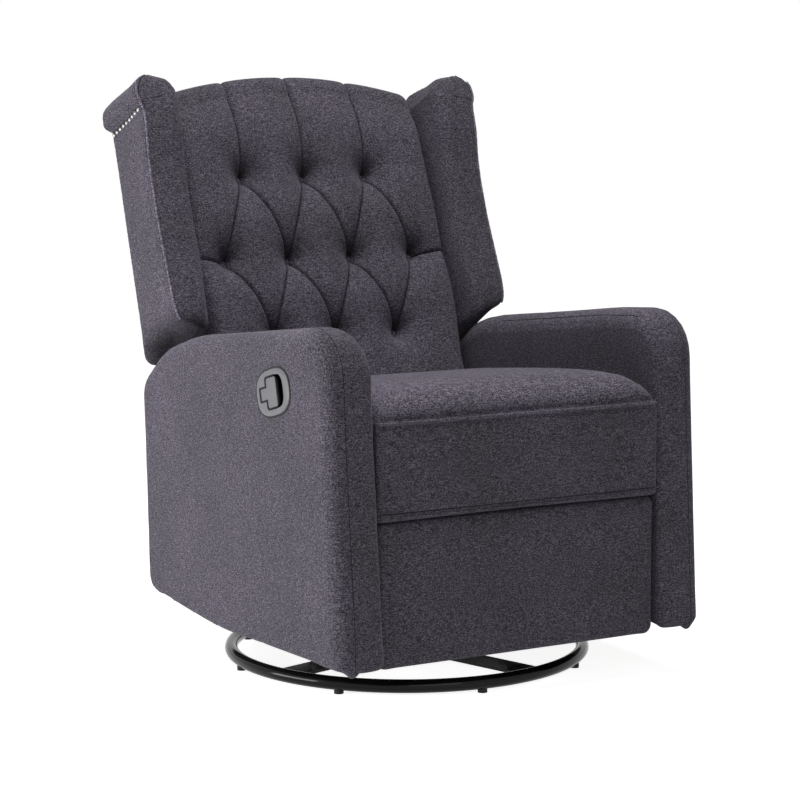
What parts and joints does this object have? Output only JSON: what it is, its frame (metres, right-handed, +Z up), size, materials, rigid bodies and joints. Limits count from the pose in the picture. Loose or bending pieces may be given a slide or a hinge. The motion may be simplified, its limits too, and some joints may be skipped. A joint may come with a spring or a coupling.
{
  "type": "swivel rocker recliner armchair",
  "caption": "Wing-back armchair with a tufted back on a round ring base; it swivels, rocks, reclines and swings out a footrest on a side-link mechanism.",
  "frame": {"origin": "on the floor at the centre of the ring base, under the swivel axis", "axes": "+Z up, -Y to the front where the footrest swings out, +X to the sitter's left"},
  "size_m": [0.7344, 0.8719, 1.0239],
  "materials": {
    "gloss_black_steel": "gloss black enamel on steel",
    "black_steel": "satin black coated steel",
    "spring_steel": "drawn spring wire and bearing steel, bright",
    "timber": "raw plywood and softwood",
    "charcoal_fabric": "heathered charcoal woven upholstery cloth over foam",
    "grey_plastic": "light grey moulded plastic, satin",
    "black_rubber": "moulded black glide",
    "silver_nails": "polished nickel nail heads"
  },
  "bodies": {
    "base": {"base_ring": "gloss_black_steel", "base_spider": "gloss_black_steel", "base_glide_1": "black_rubber", "base_glide_2": "black_rubber", "base_glide_3": "black_rubber", "base_glide_4": "black_rubber", "base_glide_5": "black_rubber", "base_glide_6": "black_rubber", "base_glide_7": "black_rubber", "base_glide_8": "black_rubber", "swivel_lower_plate": "black_steel", "swivel_bearing": "spring_steel"},
    "swivel": {"swivel_upper_plate": "black_steel", "rocker_bracket_left": "black_steel", "rocker_bracket_right": "black_steel", "rocker_spring_front_left": "spring_steel", "rocker_spring_front_right": "spring_steel", "rocker_spring_rear_left": "spring_steel", "rocker_spring_rear_right": "spring_steel"},
    "chassis": {"base_rail_left": "black_steel", "base_rail_right": "black_steel", "cross_tube_front": "black_steel", "cross_tube_rear": "black_steel", "arm_cover_left": "charcoal_fabric", "arm_cover_right": "charcoal_fabric", "arm_board_left": "timber", "arm_board_right": "timber", "rear_rail": "charcoal_fabric", "handle_bezel": "grey_plastic", "arm_glide_left": "black_rubber", "arm_glide_right": "black_rubber", "seat_frame": "timber", "seat_spring_deck": "spring_steel", "seat_cushion": "charcoal_fabric", "seat_plate_left": "black_steel", "seat_plate_right": "black_steel"},
    "lever": {"release_lever": "grey_plastic"},
    "back": {"back_frame": "timber", "back_panel": "charcoal_fabric", "back_cushion": "charcoal_fabric", "wing_left": "charcoal_fabric", "wing_right": "charcoal_fabric", "nail_strip_left": "silver_nails", "nail_strip_right": "silver_nails", "hinge_plate_left": "black_steel", "hinge_plate_right": "black_steel"},
    "drive": {"drive_tube": "black_steel", "drive_link_left": "black_steel", "drive_link_right": "black_steel"},
    "control": {"control_link_left": "black_steel", "control_link_right": "black_steel"},
    "ottoman": {"ottoman_link_left": "black_steel", "ottoman_link_right": "black_steel"},
    "support": {"support_link_left": "black_steel", "support_link_right": "black_steel"},
    "footrest": {"footrest_board": "timber", "footrest_pad": "charcoal_fabric", "footrest_bracket_left": "black_steel", "footrest_bracket_right": "black_steel"}
  },
  "joints": [
    {"name": "swivel", "type": "hinge", "parent": "base", "child": "swivel", "pos_m": [0, 0, 0.05], "axis": [0, 0, 1], "continuous": true},
    {"name": "rock", "type": "hinge", "parent": "swivel", "child": "chassis", "pos_m": [0, 0, 0.104], "axis": [1, 0, 0], "range_deg": [-8, 8], "stiffness_Nm_per_rad": 900, "deforming": ["rocker_spring_front_left", "rocker_spring_front_right", "rocker_spring_rear_left", "rocker_spring_rear_right"]},
    {"name": "back_recline", "type": "hinge", "parent": "chassis", "child": "back", "pos_m": [0, 0.24, 0.36], "axis": [-1, 0, 0], "range_deg": [0, 35]},
    {"name": "release_lever", "type": "hinge", "parent": "chassis", "child": "lever", "pos_m": [-0.3575, -0.1541, 0.50005], "axis": [0, -0.2419, -0.9703], "range_deg": [0, 25], "stiffness_Nm_per_rad": 0.5},
    {"name": "footrest_drive", "type": "hinge", "parent": "chassis", "child": "drive", "pos_m": [0, -0.21759, 0.29337], "axis": [-1, 0, 0], "range_deg": [0, 90]},
    {"name": "footrest_control", "type": "hinge", "parent": "chassis", "child": "control", "pos_m": [0, -0.17429, 0.26837], "axis": [-1, 0, 0], "range_deg": [0, 90]},
    {"name": "ottoman_knee", "type": "hinge", "parent": "drive", "child": "ottoman", "pos_m": [0, -0.171, 0.1195], "axis": [-1, 0, 0], "range_deg": [-90, 0]},
    {"name": "support_knee", "type": "hinge", "parent": "drive", "child": "support", "pos_m": [0, -0.17039, 0.0845], "axis": [-1, 0, 0], "range_deg": [-90, 0]},
    {"name": "footrest_panel", "type": "hinge", "parent": "ottoman", "child": "footrest", "pos_m": [0, -0.318, 0.2625], "axis": [-1, 0, 0], "range_deg": [0, 90]}
  ],
  "couplings": [
    {"joint": "footrest_control", "follows": "footrest_drive", "ratio": 1},
    {"joint": "ottoman_knee", "follows": "footrest_drive", "ratio": -1},
    {"joint": "support_knee", "follows": "footrest_drive", "ratio": -1},
    {"joint": "footrest_panel", "follows": "footrest_drive", "ratio": 1}
  ]
}
